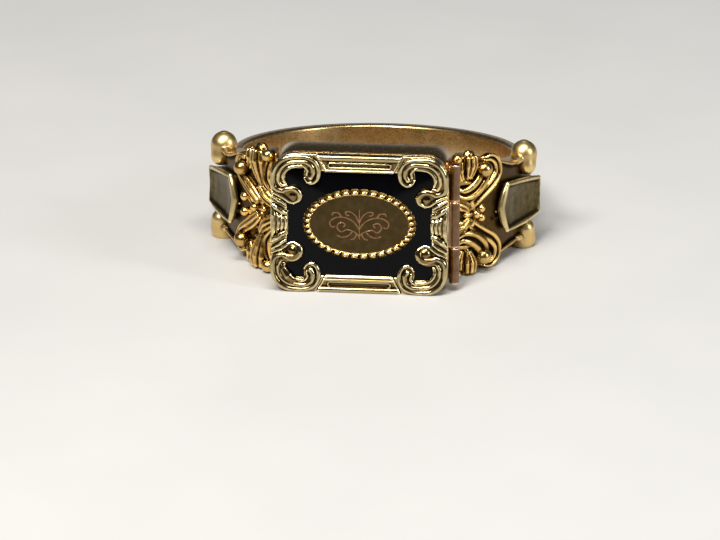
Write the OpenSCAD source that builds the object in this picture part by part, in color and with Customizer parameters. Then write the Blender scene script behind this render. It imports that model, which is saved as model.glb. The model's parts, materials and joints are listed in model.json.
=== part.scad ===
// Hinged locket signet ring. A plain hoop widens into two chased shoulders, which carry a
// rectangular locket head. The head's lid swings on a three-knuckle hinge and bears a scrolled
// frame around black enamel, with an oval plaque in a milled border.
// The finger hole runs along Z through the origin, and the head faces -Y. Millimetres.

/* [Finger hole] */
// Inside diameter of the hoop
finger_d = 17.3; // [16:0.1:20]

/* [Head] */
// Width of the head, across the finger
head_w = 11.2; // [10.8:0.1:12]
// Height of the head, along the finger
head_h = 8.9; // [8.6:0.1:9.6]
// Radius of the head's four upright corners
corner_r = 1.5; // [1.3:0.05:1.6]
// Depth of the case, from the finger to the seam under the lid
case_depth = 1.55; // [1.45:0.05:2]
// Thickness of the case's side walls
wall_t = 0.45; // [0.4:0.05:0.5]

/* [Lid ornament] */
// Half width and half height of the plaque's milled border
border_half = [3.65, 2.35]; // [2:0.05:3.7]
// Half width and half height of the plaque inside the border
plaque_half = [3.07, 1.85]; // [1.5:0.05:3.2]
// Width of the frame's bars, from the head's edge inwards
bar_w = 1.1; // [1:0.05:1.15]

/* [Hinge] */
// Outside radius of the knuckles
knuckle_r = 0.3; // [0.28:0.01:0.36]
// Radius of the hinge pin
pin_r = 0.12; // [0.1:0.01:0.14]
// Length of the hinge, over all three knuckles
hinge_len = 7.7; // [7:0.1:7.8]

/* [Shoulders and hoop] */
// Thickness of the shoulder plates
shoulder_t = 1.45; // [1.3:0.05:1.6]
// Height of the cartouche's far ridge above the shoulder plate
panel_rise = 0.97; // [0.7:0.01:1.1]
// Half width of the hoop at the shoulders
hoop_half = 2.2; // [2:0.1:2.4]
// Half width of the hoop at the back
hoop_half_back = 1.6; // [1.4:0.1:1.8]
// Thickness of the hoop at the back
hoop_t_back = 1.1; // [1:0.05:1.3]

/* [Hidden] */
$fn = 64;
SIDES = [["left", -1], ["right", 1]];
CORNERS = [["upper_left", -1, 1], ["upper_right", 1, 1], ["lower_left", -1, -1], ["lower_right", 1, -1]];
SHOULDER_PARTS = ["shoulder_", "panel_", "scroll_upper_", "scroll_lower_", "rosette_", "end_knobs_"];

finger_r = finger_d / 2;
shoulder_r = finger_r + shoulder_t;
half_w = head_w / 2;
half_h = head_h / 2;
far = 2 * finger_d;

// Layers of the head, as distances from the finger hole's axis towards the face
back_t = 0.4;
floor_at = finger_r + 0.45;
floor_t = 0.15;
seam = finger_r + case_depth;
plate_under = seam + 0.3;
plate_top = plate_under + 0.3;

// The collar that holds the crystal: its tongue stands inside the lid, its ledge under the crystal
tongue_t = 0.2;
ledge_t = 0.35;
ledge_top = seam - 0.15;
crystal_t = 0.33;

// Heights above the lid's plate
enamel_up = 0.18;
plaque_up = 0.25;
low_up = 0.35;
ridge_up = 0.48;
roll_up = 0.6;

// Clearances
snap_gap = 0.04;
pin_gap = 0.02;
knuckle_gap = 0.05;
part_gap = 0.05;
web_gap = 0.06;
side_gap = 0.04;
hinge_x = half_w + knuckle_r + side_gap;
knuckle_half = 0.19 * hinge_len;

// Frame on the lid: scroll bands round the corners, with a volute at each end
roll_w = 0.34;
pocket_r = corner_r - 0.98;
volute_r = 0.5;
corner_c = [half_w - corner_r, half_h - corner_r];
top_volute = [half_w - 2.5, half_h - 1.42];
side_volute = [half_w - 1.4, half_h - 2.72];
stem_w = 0.7;

// Half lengths of the bars at the head's edge and at the enamel, and of the ridge in each bar
long_half = [top_volute[0] - stem_w / 2 - part_gap, top_volute[0] - 1];
short_half = [side_volute[1] - stem_w / 2 - part_gap, 0.45];
long_ridge = long_half[1] - 0.25;
short_ridge = 0.28;
lip_w = 0.18;
ridge_r = 0.16;
ridge_inner_r = 0.07;

// Shoulders: angles from the head's middle, heights along the finger
shoulder_from = 20;
shoulder_end = 84;
SHOULDER_EDGE = [
  [-far, half_h - 0.6], [-7.4, half_h - 0.65], [-6, 3.2], [-4.4, 2.8], [-1.2, hoop_half], [far, hoop_half]
];
panel_from = 57;
panel_to = 80;
panel_half = 1.45;
panel_curve_r = 6;
scoop_r = 2.2;
scoop_at = [67, shoulder_r + 2.45];
scroll_at = [47, 2.2];
scroll_ring_r = 1;
scroll_wire_r = 0.34;
scroll_ends = [-140, 110];
ball_r = 0.48;
flower_at = 43;
petal_ring_r = 0.48;
petal_r = 0.3;
bead_r = 0.28;
knob_at = [77, 2.4];
knob_r = 0.75;
knob_lift = 0.15;

// Hoop
crown_r = 3.2;
hoop_shift = 0.95 * (shoulder_t - hoop_t_back);
hoop_outer_r = finger_r + hoop_t_back + hoop_shift;

gold = [0.83, 0.64, 0.32];
pale_gold = [0.88, 0.74, 0.45];
rose_gold = [0.8, 0.56, 0.4];
black = [0.02, 0.02, 0.03];
clear = [0.85, 0.92, 0.95];

// ---- Placing ----

// Local X stays, local Y becomes Z, and local Z points out of the head's face
module on_face(level)
  translate([0, -level, 0])
    rotate([90, 0, 0])
      children();

// Mirrors across the middle planes of the ring: x and z are 1 or -1
module mirrored(x, z)
  multmatrix([[x, 0, 0, 0], [0, 1, 0, 0], [0, 0, z, 0], [0, 0, 0, 1]])
    children();

// On the shoulder plate: local X runs around the ring away from the head, local Z points outwards
module on_shoulder(angle, z = 0)
  rotate([0, 0, angle])
    translate([0, -shoulder_r, z])
      rotate([90, 0, 0])
        children();

// What is built on a shoulder keeps only what stands outside the plate
module above_shoulder() difference() {
  children();
  cylinder(r = shoulder_r, h = far, center = true);
}

module finger_hole() cylinder(r = finger_r, h = far, center = true);

// A sector of a ring around Z between two angles from the head's middle, on the +X side
module sector(from, to, r0, r1, half)
  rotate([0, 0, from - 90])
    rotate_extrude(angle = to - from)
      translate([r0, -half])
        square([r1 - r0, 2 * half]);

// ---- Flat shapes ----

module rounded(w, h, r) {
  square([w - 2 * r, h], center = true);
  square([w, h - 2 * r], center = true);
  for (x = [-1, 1], y = [-1, 1])
    translate([x * (w / 2 - r), y * (h / 2 - r)])
      circle(r);
}

module head_outline(inset = 0) rounded(head_w - 2 * inset, head_h - 2 * inset, corner_r - inset);

function ellipse_point(half, angle) = [half[0] * cos(angle), half[1] * sin(angle)];

module ellipse(half) polygon([for (angle = [0:5:355]) ellipse_point(half, angle)]);

// One corner scroll of the frame, in the corner where x and y are positive
module scroll_outline() {
  difference() {
    translate(corner_c) intersection() {
      circle(corner_r);
      square(corner_r);
    }
    translate(corner_c) circle(pocket_r);
  }
  translate([top_volute[0], corner_c[1] + pocket_r])
    square([corner_c[0] - top_volute[0], corner_r - pocket_r]);
  translate([corner_c[0] + pocket_r, side_volute[1]])
    square([corner_r - pocket_r, corner_c[1] - side_volute[1]]);
  translate(top_volute) circle(volute_r);
  translate([top_volute[0] - stem_w / 2, top_volute[1]]) square([stem_w, half_h - top_volute[1]]);
  translate(side_volute) circle(volute_r);
  translate([side_volute[0], side_volute[1] - stem_w / 2]) square([half_w - side_volute[0], stem_w]);
}

// The raised roll along the outer edge of a corner scroll
module roll_outline() {
  translate(corner_c) intersection() {
    difference() {
      circle(corner_r);
      circle(corner_r - roll_w);
    }
    square(corner_r);
  }
  translate([top_volute[0], half_h - roll_w]) square([corner_c[0] - top_volute[0], roll_w]);
  translate([half_w - roll_w, side_volute[1]]) square([roll_w, corner_c[1] - side_volute[1]]);
}

// A bar of the frame, a trapezium with its long side on the head's edge: local +Y is outwards
module bar_outline(half_out, half_in, inset = 0) {
  out = half_out - 1.6 * inset;
  in = half_in - 0.7 * inset;
  polygon([[-out, bar_w - inset], [out, bar_w - inset], [in, inset], [-in, inset]]);
}

// A strip with round ends
module strip(half, r) {
  square([2 * half, 2 * r], center = true);
  for (x = [-1, 1])
    translate([x * half, 0])
      circle(r);
}

module long_bar_place()
  translate([0, half_h - bar_w])
    children();

module short_bar_place()
  translate([half_w - bar_w, 0])
    rotate(-90)
      children();

module enamel_outline() difference() {
  union() {
    square([2 * (half_w - bar_w), 2 * (half_h - bar_w)], center = true);
    for (x = [-1, 1], y = [-1, 1])
      translate([x * corner_c[0], y * corner_c[1]])
        circle(pocket_r);
  }
  for (x = [-1, 1], y = [-1, 1])
    scale([x, y])
      scroll_outline();
  ellipse(border_half);
}

// ---- Hoop and shoulders ----

// Crowned band, thinner and narrower towards the back
module hoop() color(gold) difference() {
  front_y = -shoulder_r * cos(shoulder_end);
  back_y = hoop_outer_r + 1;
  intersection() {
    translate([0, -hoop_shift, 0]) rotate_extrude() intersection() {
      translate([hoop_outer_r - crown_r, 0]) circle(crown_r);
      translate([finger_r - 2, -hoop_half]) square([4, 2 * hoop_half]);
    }
    rotate([90, 0, 90]) linear_extrude(far, center = true) polygon([
      [front_y - 1, -hoop_half], [front_y, -hoop_half], [back_y, -hoop_half_back],
      [back_y, hoop_half_back], [front_y, hoop_half], [front_y - 1, hoop_half]
    ]);
  }
  finger_hole();
  for (x = [-1, 1])
    mirrored(x, 1) sector(0, shoulder_end, finger_r - 1, shoulder_r + 2, head_h);
}

// Cylindrical plate from the head's side wall to the hoop, narrowing away from the head
module shoulder(x) color(gold) mirrored(x, 1) difference() {
  last = len(SHOULDER_EDGE) - 1;
  intersection() {
    sector(shoulder_from, shoulder_end, finger_r, shoulder_r, half_h);
    rotate([90, 0, 90]) linear_extrude(far) polygon(concat(
      SHOULDER_EDGE,
      [for (i = [last:-1:0]) [SHOULDER_EDGE[i][0], -SHOULDER_EDGE[i][1]]]
    ));
  }
  translate([-half_w, -far, -head_h]) cube([head_w, 2 * far, 2 * head_h]);
}

// Cartouche on the shoulder: a hollow between a low ridge near the head and a high one by the hoop
module panel(x) color(gold) mirrored(x, 1) difference() {
  intersection() {
    sector(panel_from, panel_to, shoulder_r, finger_d, panel_half);
    rotate([0, 0, panel_to])
      translate([0, panel_curve_r - shoulder_r - panel_rise, 0])
        cylinder(r = panel_curve_r, h = far, center = true);
  }
  rotate([0, 0, scoop_at[0]])
    translate([0, -scoop_at[1], 0])
      cylinder(r = scoop_r, h = far, center = true);
}

// C-scroll with a ball at each end, opening towards the head
module shoulder_scroll(x, z) color(gold) mirrored(x, z) above_shoulder()
  on_shoulder(scroll_at[0], scroll_at[1]) {
    rotate([0, 0, scroll_ends[0]])
      rotate_extrude(angle = scroll_ends[1] - scroll_ends[0])
        translate([scroll_ring_r, scroll_wire_r / 2])
          circle(scroll_wire_r);
    for (angle = scroll_ends)
      rotate([0, 0, angle])
        translate([scroll_ring_r, 0, ball_r / 3])
          sphere(ball_r);
  }

// Five round petals about a bead
module rosette(x) color(gold) mirrored(x, 1) above_shoulder() on_shoulder(flower_at) {
  translate([0, 0, bead_r / 2]) sphere(bead_r);
  for (angle = [0:72:288])
    rotate([0, 0, angle])
      translate([petal_ring_r, 0, 0])
        sphere(petal_r);
}

// Round knobs on the two edges of the shoulder's end
module end_knobs(x) color(pale_gold) for (z = [-1, 1])
  mirrored(x, z) above_shoulder()
    on_shoulder(knob_at[0], knob_at[1])
      translate([0, 0, knob_lift])
        sphere(knob_r);

// ---- Case ----

module case_wall() color(gold) difference() {
  on_face(finger_r / 2) linear_extrude(seam - finger_r / 2) difference() {
    head_outline();
    head_outline(wall_t);
  }
  finger_hole();
}

// Curved plate that lies against the finger
module case_back() color(gold) intersection() {
  on_face(finger_r / 2)
    linear_extrude(seam - finger_r / 2)
      head_outline(wall_t);
  difference() {
    cylinder(r = finger_r + back_t, h = head_h, center = true);
    finger_hole();
  }
}

module compartment_floor() color(pale_gold)
  on_face(floor_at)
    linear_extrude(floor_t)
      head_outline(wall_t);

// Stepped collar: it holds the crystal, and the lid closes over it
module glass_rim() color(pale_gold) on_face(floor_at + floor_t) {
  foot = floor_at + floor_t;
  linear_extrude(plate_under - snap_gap - foot) difference() {
    head_outline(wall_t);
    head_outline(wall_t + tongue_t);
  }
  linear_extrude(ledge_top - foot) difference() {
    head_outline(wall_t + tongue_t / 2);
    head_outline(wall_t + tongue_t / 2 + ledge_t);
  }
}

module crystal() color(clear, 0.35)
  on_face(ledge_top)
    linear_extrude(crystal_t)
      head_outline(wall_t + tongue_t);

// ---- Hinge ----

// A tube around the pin, from z0 to z1
module knuckle_tube(z0, z1, bore_r) translate([hinge_x, -seam, z0]) difference() {
  cylinder(r = knuckle_r, h = z1 - z0);
  translate([0, 0, -1]) cylinder(r = bore_r, h = z1 - z0 + 2);
}

// A web from the head's side to the tube: out is 1 on the lid's side of the seam, -1 on the case's
module knuckle_web(z0, z1, out, bore_r) difference() {
  web_y = out > 0 ? -seam - knuckle_r : -seam + web_gap;
  translate([half_w, web_y, z0]) cube([hinge_x - half_w, knuckle_r - web_gap, z1 - z0]);
  translate([hinge_x, -seam, z0 - 1]) cylinder(r = (knuckle_r + bore_r) / 2, h = z1 - z0 + 2);
}

module case_knuckle(z) color(rose_gold) mirrored(1, z) {
  knuckle_tube(knuckle_half + knuckle_gap, hinge_len / 2, pin_r);
  knuckle_web(knuckle_half + knuckle_gap, hinge_len / 2, -1, pin_r);
}

module lid_knuckle() color(rose_gold) {
  knuckle_tube(-knuckle_half, knuckle_half, pin_r + pin_gap);
  knuckle_web(-knuckle_half, knuckle_half, 1, pin_r + pin_gap);
}

module hinge_pin() color(rose_gold)
  translate([hinge_x, -seam, 0])
    cylinder(r = pin_r, h = hinge_len, center = true);

// ---- Lid ----

module lid_rim() color(gold) on_face(seam) linear_extrude(plate_under - seam) difference() {
  head_outline();
  head_outline(wall_t - snap_gap);
}

module lid_plate() color(gold)
  on_face(plate_under)
    linear_extrude(plate_top - plate_under)
      head_outline();

module enamel_field() color(black)
  on_face(plate_top)
    linear_extrude(enamel_up)
      enamel_outline();

module plaque() color(pale_gold)
  on_face(plate_top)
    linear_extrude(plaque_up)
      ellipse(plaque_half);

module plaque_border() color(pale_gold) on_face(plate_top) linear_extrude(ridge_up) difference() {
  ellipse(border_half);
  ellipse(plaque_half);
}

module corner_scroll(x, z) color(pale_gold) mirrored(x, z) on_face(plate_top) {
  linear_extrude(low_up) scroll_outline();
  linear_extrude(roll_up) roll_outline();
  for (volute = [top_volute, side_volute])
    translate(volute)
      cylinder(r1 = volute_r, r2 = volute_r / 2, h = roll_up);
}

// A bar with a raised lip around a sunk panel, and a long narrow ridge with round ends in the panel
module bar(half_out, half_in, ridge_half) {
  linear_extrude(low_up - 0.1) bar_outline(half_out, half_in);
  linear_extrude(ridge_up) difference() {
    bar_outline(half_out, half_in);
    bar_outline(half_out, half_in, lip_w);
  }
  translate([0, bar_w / 2]) linear_extrude(low_up + 0.05) difference() {
    strip(ridge_half, ridge_r);
    strip(ridge_half, ridge_inner_r);
  }
}

module long_bar(z) color(pale_gold) mirrored(1, z) on_face(plate_top) long_bar_place()
  bar(long_half[0], long_half[1], long_ridge);

module short_bar(x) color(pale_gold) mirrored(x, 1) on_face(plate_top) short_bar_place()
  bar(short_half[0], short_half[1], short_ridge);

// ---- The assembly ----

hoop();
for (s = SIDES) {
  shoulder(s[1]);
  panel(s[1]);
  shoulder_scroll(s[1], 1);
  shoulder_scroll(s[1], -1);
  rosette(s[1]);
  end_knobs(s[1]);
  short_bar(s[1]);
}
case_wall();
case_back();
compartment_floor();
glass_rim();
crystal();
case_knuckle(1);  // case_knuckle_upper
case_knuckle(-1);  // case_knuckle_lower
hinge_pin();
lid_rim();
lid_plate();
lid_knuckle();
enamel_field();
plaque();
plaque_border();
for (c = CORNERS)
  corner_scroll(c[1], c[2]);
long_bar(1);  // long_bar_upper
long_bar(-1);  // long_bar_lower
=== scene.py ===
# Looks of a hinged locket signet ring: chased gold, black enamel and an engraved plaque.
# Sizes are in millimetres until a mesh is made. The finger hole runs along Z, the head faces -Y,
# and the hinge is on the +X side.

import json
import math

import bpy
import numpy as np
from mathutils import Matrix, Vector


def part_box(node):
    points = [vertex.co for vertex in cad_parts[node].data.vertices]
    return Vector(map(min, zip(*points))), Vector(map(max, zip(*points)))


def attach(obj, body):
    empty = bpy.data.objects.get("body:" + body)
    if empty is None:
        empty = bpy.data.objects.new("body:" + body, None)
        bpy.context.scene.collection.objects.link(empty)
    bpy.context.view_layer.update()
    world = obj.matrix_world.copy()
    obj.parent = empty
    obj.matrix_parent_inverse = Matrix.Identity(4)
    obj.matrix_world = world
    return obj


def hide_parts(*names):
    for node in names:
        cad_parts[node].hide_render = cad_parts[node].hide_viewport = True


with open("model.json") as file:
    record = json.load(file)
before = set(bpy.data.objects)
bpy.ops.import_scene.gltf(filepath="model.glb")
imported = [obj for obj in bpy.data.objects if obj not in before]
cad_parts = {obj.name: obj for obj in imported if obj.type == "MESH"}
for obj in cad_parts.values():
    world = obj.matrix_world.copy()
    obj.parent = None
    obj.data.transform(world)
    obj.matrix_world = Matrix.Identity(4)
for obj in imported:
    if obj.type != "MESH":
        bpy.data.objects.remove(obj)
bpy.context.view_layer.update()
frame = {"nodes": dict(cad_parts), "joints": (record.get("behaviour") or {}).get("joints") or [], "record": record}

# ---- Sizes read from the frame ----

MM = 1000.0


def box_mm(node):
    """Lowest and highest corner of a CAD node, in millimetres."""
    low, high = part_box(node)
    return np.array(low) * MM, np.array(high) * MM


FINGER_R = next(m for m in frame["record"]["mounts"] if m["kind"] == "bore")["dims"]["r_mm"]
LID_LOW, LID_HIGH = box_mm("lid_plate")
HALF_W, HALF_H = LID_HIGH[0], LID_HIGH[2]
PLATE_TOP, PLATE_UNDER = -LID_LOW[1], -LID_HIGH[1]
SEAM = -box_mm("case_wall")[0][1]
RELIEF = -box_mm("corner_scroll_upper_left")[0][1] - PLATE_TOP
ENAMEL_UP = -box_mm("enamel_field")[0][1] - PLATE_TOP
PLAQUE_UP = -box_mm("plaque")[0][1] - PLATE_TOP
BORDER_HALF = box_mm("plaque_border")[1][[0, 2]]
PLAQUE_HALF = box_mm("plaque")[1][[0, 2]]
BORDER_UP = -box_mm("plaque_border")[0][1] - PLATE_TOP
BAR_W = box_mm("long_bar_upper")[1][2] - box_mm("long_bar_upper")[0][2]
LONG_OUT = box_mm("long_bar_upper")[1][0]
SHORT_OUT = box_mm("short_bar_right")[1][2]
PIN = np.array(frame["joints"][0]["pos_m"]) * MM
KNUCKLE_R = box_mm("lid_knuckle")[1][0] - PIN[0]
KNUCKLE_HALF = box_mm("lid_knuckle")[1][2]
HOOP_BACK = box_mm("hoop")[1][1]
HOOP_HALF = box_mm("hoop")[1][2]
# The rest are sizes of the CAD model that the frame doesn't give.
SHOULDER_R = FINGER_R + 1.45
CORNER_R = 1.5
WALL_T = 0.45
BAR_SLANT = 0.56

# ---- Solids as signed fields on a grid ----


def rounded(a, b, edge):
    """Where two fields meet in a corner, what is inside both, with the corner rounded."""
    return np.hypot(np.maximum(a, 0), np.maximum(b, 0)) + np.minimum(np.maximum(a, b), 0) - edge


def smooth_min(a, b, soft):
    """The lower of two fields, rounded over a distance of soft where they meet."""
    if soft <= 0:
        return np.minimum(a, b)
    h = np.clip(0.5 + 0.5 * (b - a) / soft, 0, 1)
    return b + (a - b) * h - soft * h * (1 - h)


class Solid:
    """A solid on a grid over (u, v, w): negative inside, and about a distance near its surface."""

    def __init__(self, low, high, pitch):
        axes = [np.arange(a, b + pitch, pitch, dtype=np.float32) for a, b in zip(low, high)]
        self.low = np.array(low, np.float32)
        self.pitch = pitch
        self.u, self.v, self.w = axes[0][:, None, None], axes[1][None, :, None], axes[2][None, None, :]
        self.field = np.full([len(a) for a in axes], 9, np.float32)

    def add(self, field, soft):
        """Joins a shape on, with the joint rounded over a distance of soft."""
        self.field = smooth_min(self.field, field, soft)

    def cut(self, field, soft):
        """Takes a shape out, with its edges rounded over a distance of soft."""
        self.field = -smooth_min(-self.field, field, soft)

    def within(self, field):
        """Keeps only what is inside a shape."""
        self.field = np.maximum(self.field, field)

    def ball(self, centre, radius, flat=1.0):
        """A ball, or a dome where flat is under 1."""
        u, v, w = self.u - centre[0], self.v - centre[1], (self.w - centre[2]) / flat
        return (np.sqrt(u * u + v * v + w * w) - radius) * min(1.0, flat + 0.2)

    def along(self, line):
        """A line's second coordinate at each u, where its first is u."""
        return np.interp(self.u[:, 0, 0], line[:, 0], line[:, 1]).astype(np.float32)[:, None, None]

    def nearest(self, path, radius, height):
        """Over the sheet: distance to a path's band and to its line, and the band's radius and height."""
        path = np.asarray(path, np.float32)
        radius = spread(radius, len(path))
        height = spread(height, len(path))
        u, v = self.u[:, 0, 0], self.v[0, :, 0]
        best = np.full((len(u), len(v)), 9, np.float32)
        reach = np.full(best.shape, 9, np.float32)
        thick = np.full(best.shape, radius[0], np.float32)
        level = np.full(best.shape, height[0], np.float32)
        for i in range(len(path) - 1):
            (x0, y0), (dx, dy) = path[i], path[i + 1] - path[i]
            margin = 1.0 + max(radius[i], radius[i + 1])
            us = slice(*np.searchsorted(u, [min(x0, x0 + dx) - margin, max(x0, x0 + dx) + margin]))
            vs = slice(*np.searchsorted(v, [min(y0, y0 + dy) - margin, max(y0, y0 + dy) + margin]))
            px, py = u[us, None] - x0, v[None, vs] - y0
            t = np.clip((px * dx + py * dy) / max(dx * dx + dy * dy, 1e-9), 0, 1)
            away = np.hypot(px - t * dx, py - t * dy)
            r = radius[i] + t * (radius[i + 1] - radius[i])
            h = height[i] + t * (height[i + 1] - height[i])
            near = away - r < best[us, vs]
            best[us, vs] = np.where(near, away - r, best[us, vs])
            reach[us, vs] = np.where(near, away, reach[us, vs])
            thick[us, vs] = np.where(near, r, thick[us, vs])
            level[us, vs] = np.where(near, h, level[us, vs])
        return [layer[:, :, None] for layer in (best, reach, thick, level)]

    def strand(self, path, radius, height, flat=1.0):
        """A round or flattened strand over the sheet. Its radius and height may change along its path."""
        _, reach, thick, level = self.nearest(path, radius, height)
        rise = (self.w - level) / flat
        return (np.sqrt(reach**2 + rise**2) - thick) * min(1.0, flat + 0.2)

    def shadow(self, path, radius):
        """Distance in the sheet's plane to a band around a path."""
        return self.nearest(path, radius, 0.0)[0]


def spread(value, count):
    """One number, or a few numbers spaced evenly along a path, as one for each of its points."""
    value = np.atleast_1d(np.asarray(value, np.float32))
    return np.interp(np.linspace(0, 1, count), np.linspace(0, 1, len(value)), value).astype(np.float32)


def surface_net(field, low, pitch):
    """Vertices and quads of the field's zero surface, with the normals outwards."""
    field = field.copy()
    for axis in range(3):
        ends = np.moveaxis(field, axis, 0)
        ends[0], ends[-1] = np.maximum(ends[0], pitch), np.maximum(ends[-1], pitch)
    cells = np.array(field.shape) - 1
    total, count = np.zeros((cells.prod(), 3)), np.zeros(cells.prod())
    crossings = []
    for axis in range(3):
        a, b = np.moveaxis(field, axis, 0)[:-1], np.moveaxis(field, axis, 0)[1:]
        where = np.argwhere((a < 0) != (b < 0))
        start, stop = a[tuple(where.T)], b[tuple(where.T)]
        corner = np.insert(where[:, 1:], axis, where[:, 0], axis=1)
        point = corner.astype(float)
        point[:, axis] += start / (start - stop)
        others = [o for o in range(3) if o != axis]
        ids = np.full((len(where), 4), -1)
        for n, (j, k) in enumerate([(-1, -1), (0, -1), (0, 0), (-1, 0)]):
            cell = corner.copy()
            cell[:, others[0]] += j
            cell[:, others[1]] += k
            ok = ((cell >= 0) & (cell < cells)).all(1)
            flat = np.ravel_multi_index(cell[ok].T, cells)
            ids[ok, n] = flat
            for c in range(3):
                total[:, c] += np.bincount(flat, point[ok, c], len(total))
            count += np.bincount(flat, minlength=len(total))
        outwards = (start < 0) == (axis != 1)
        ids[~outwards] = ids[~outwards][:, ::-1]
        crossings.append(ids[(ids >= 0).all(1)])
    used = np.flatnonzero(count)
    number = np.full(len(total), -1)
    number[used] = np.arange(len(used))
    points = total[used] / count[used, None] * pitch + low
    return points, number[np.vstack(crossings)]


def sample(field, low, pitch, points):
    """The field's value and gradient at points, by trilinear interpolation."""
    at = np.clip((points - low) / pitch, 0.001, np.array(field.shape) - 1.001)
    base = at.astype(int)
    f = at - base
    corners = {}
    for i in (0, 1):
        for j in (0, 1):
            for k in (0, 1):
                corners[i, j, k] = field[base[:, 0] + i, base[:, 1] + j, base[:, 2] + k]
    weight = [np.stack([1 - f[:, a], f[:, a]]) for a in range(3)]
    value = np.zeros(len(points))
    slope = np.zeros((len(points), 3))
    for (i, j, k), c in corners.items():
        x, y, z = weight[0][i], weight[1][j], weight[2][k]
        value += c * x * y * z
        slope[:, 0] += c * (2 * i - 1) * y * z
        slope[:, 1] += c * x * (2 * j - 1) * z
        slope[:, 2] += c * x * y * (2 * k - 1)
    return value, slope / pitch


def neighbour_mean(values, edges, count):
    """For each vertex, the mean of values over the vertices that share an edge with it."""
    ends = np.concatenate([edges, edges[:, ::-1]])
    share = np.maximum(np.bincount(ends[:, 0], minlength=count), 1)
    columns = [np.bincount(ends[:, 0], values[ends[:, 1], c], count) / share for c in range(values.shape[1])]
    return np.stack(columns, 1)


def edges_of(quads):
    """Each edge once, as a pair of vertices."""
    pairs = np.concatenate([quads[:, [0, 1]], quads[:, [1, 2]], quads[:, [2, 3]], quads[:, [3, 0]]])
    pairs = np.unique(np.sort(pairs, 1), axis=0)
    return pairs[pairs[:, 0] != pairs[:, 1]]


def skin(solid, rounds=3):
    """The solid's surface, evened out and drawn back onto the field."""
    points, quads = surface_net(solid.field, solid.low, solid.pitch)
    edges = edges_of(quads)
    for _ in range(rounds):
        points = points + 0.6 * (neighbour_mean(points, edges, len(points)) - points)
        value, slope = sample(solid.field, solid.low, solid.pitch, points)
        step = value[:, None] * slope / np.maximum((slope**2).sum(1), 0.05)[:, None]
        points = points - np.clip(step, -solid.pitch, solid.pitch)
    return points, quads


# ---- Paths ----


def arc(centre, radius, start, stop, steps=16):
    """Points on a circle, from one angle to another in degrees."""
    angle = np.radians(np.linspace(start, stop, steps))
    return np.stack([centre[0] + radius * np.cos(angle), centre[1] + radius * np.sin(angle)], 1)


def curve(points, steps=10):
    """A smooth line through a few points (Catmull-Rom)."""
    p = np.asarray(points, float)
    p = np.vstack([2 * p[0] - p[1], p, 2 * p[-1] - p[-2]])
    t = np.linspace(0, 1, steps, endpoint=False)[:, None]
    parts = []
    for a, b, c, d in zip(p, p[1:], p[2:], p[3:]):
        square, cube = 2 * a - 5 * b + 4 * c - d, 3 * b - a - 3 * c + d
        parts.append(0.5 * (2 * b + (c - a) * t + square * t**2 + cube * t**3))
    return np.vstack([*parts, p[-2:-1]])


# ---- Meshes ----

HOLLOW_DEPTH = 0.04
CREST_STEPS = 1.1


def cavities(points, quads):
    """How hollow and how crested each vertex is, from 0 to 1, for the painted shade in hollows and the painted
    highlight on crests. A full crest is CREST_STEPS edges high.
    """
    edges = edges_of(quads)
    a, b, c = points[quads[:, 0]], points[quads[:, 1]], points[quads[:, 2]]
    face_normal = np.cross(c - a, points[quads[:, 3]] - b)
    normal = np.zeros_like(points)
    for corner in range(4):
        for axis in range(3):
            normal[:, axis] += np.bincount(quads[:, corner], face_normal[:, axis], len(points))
    normal /= np.maximum(np.linalg.norm(normal, axis=1), 1e-12)[:, None]
    wide = points
    for _ in range(14):
        wide = neighbour_mean(wide, edges, len(points))
    bend = ((wide - points) * normal).sum(1)
    for _ in range(2):
        bend = neighbour_mean(bend[:, None], edges, len(points))[:, 0]
    step = np.linalg.norm(points[edges[:, 0]] - points[edges[:, 1]], axis=1).mean()
    return np.clip(bend / HOLLOW_DEPTH, 0, 1), np.clip(-bend / (CREST_STEPS * step), 0, 1)


def volume(points, quads):
    """Six times the volume inside a closed surface, negative where its faces look inwards."""
    a, b, c, d = (points[quads[:, i]] for i in range(4))
    return (a * (np.cross(b, c) + np.cross(c, d))).sum()


def make(name, points, quads, body, nodes, material, marks=None, cavity=True):
    """A shown piece from points in millimetres. It rides on a body and stands for CAD nodes."""
    mesh = bpy.data.meshes.new(name)
    points, quads = np.asarray(points, float), np.asarray(quads)
    if volume(points, quads) < 0:
        quads = quads[:, ::-1]
    mesh.from_pydata((points / MM).tolist(), [], [list(dict.fromkeys(q)) for q in quads.tolist()])
    mesh.validate()
    mesh.polygons.foreach_set("use_smooth", [True] * len(mesh.polygons))
    # The hollow and crest layers carry the materials' painted shade and painted highlight.
    if cavity:
        hollow, crest = cavities(points, quads)
        for label, values in (("hollow", hollow), ("crest", crest), ("mark", marks)):
            if values is not None:
                layer = mesh.attributes.new(label, "FLOAT", "POINT")
                layer.data.foreach_set("value", values.astype(np.float32))
    piece = bpy.data.objects.new(name, mesh)
    bpy.context.scene.collection.objects.link(piece)
    mesh.materials.append(material)
    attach(piece, body)
    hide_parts(*nodes)


def face_to_ring(points):
    """From the head's face (u right, v up, w out from the lid's plate) to the ring's axes."""
    return np.stack([points[:, 0], -PLATE_TOP - points[:, 2], points[:, 1]], 1)


def sheet_to_ring(points, side):
    """From a shoulder's sheet (u round the ring, v along the finger, w from the axis) to the ring's axes."""
    angle = points[:, 0] / SHOULDER_R
    return np.stack([side * points[:, 2] * np.sin(angle), -points[:, 2] * np.cos(angle), points[:, 1]], 1)


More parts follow.
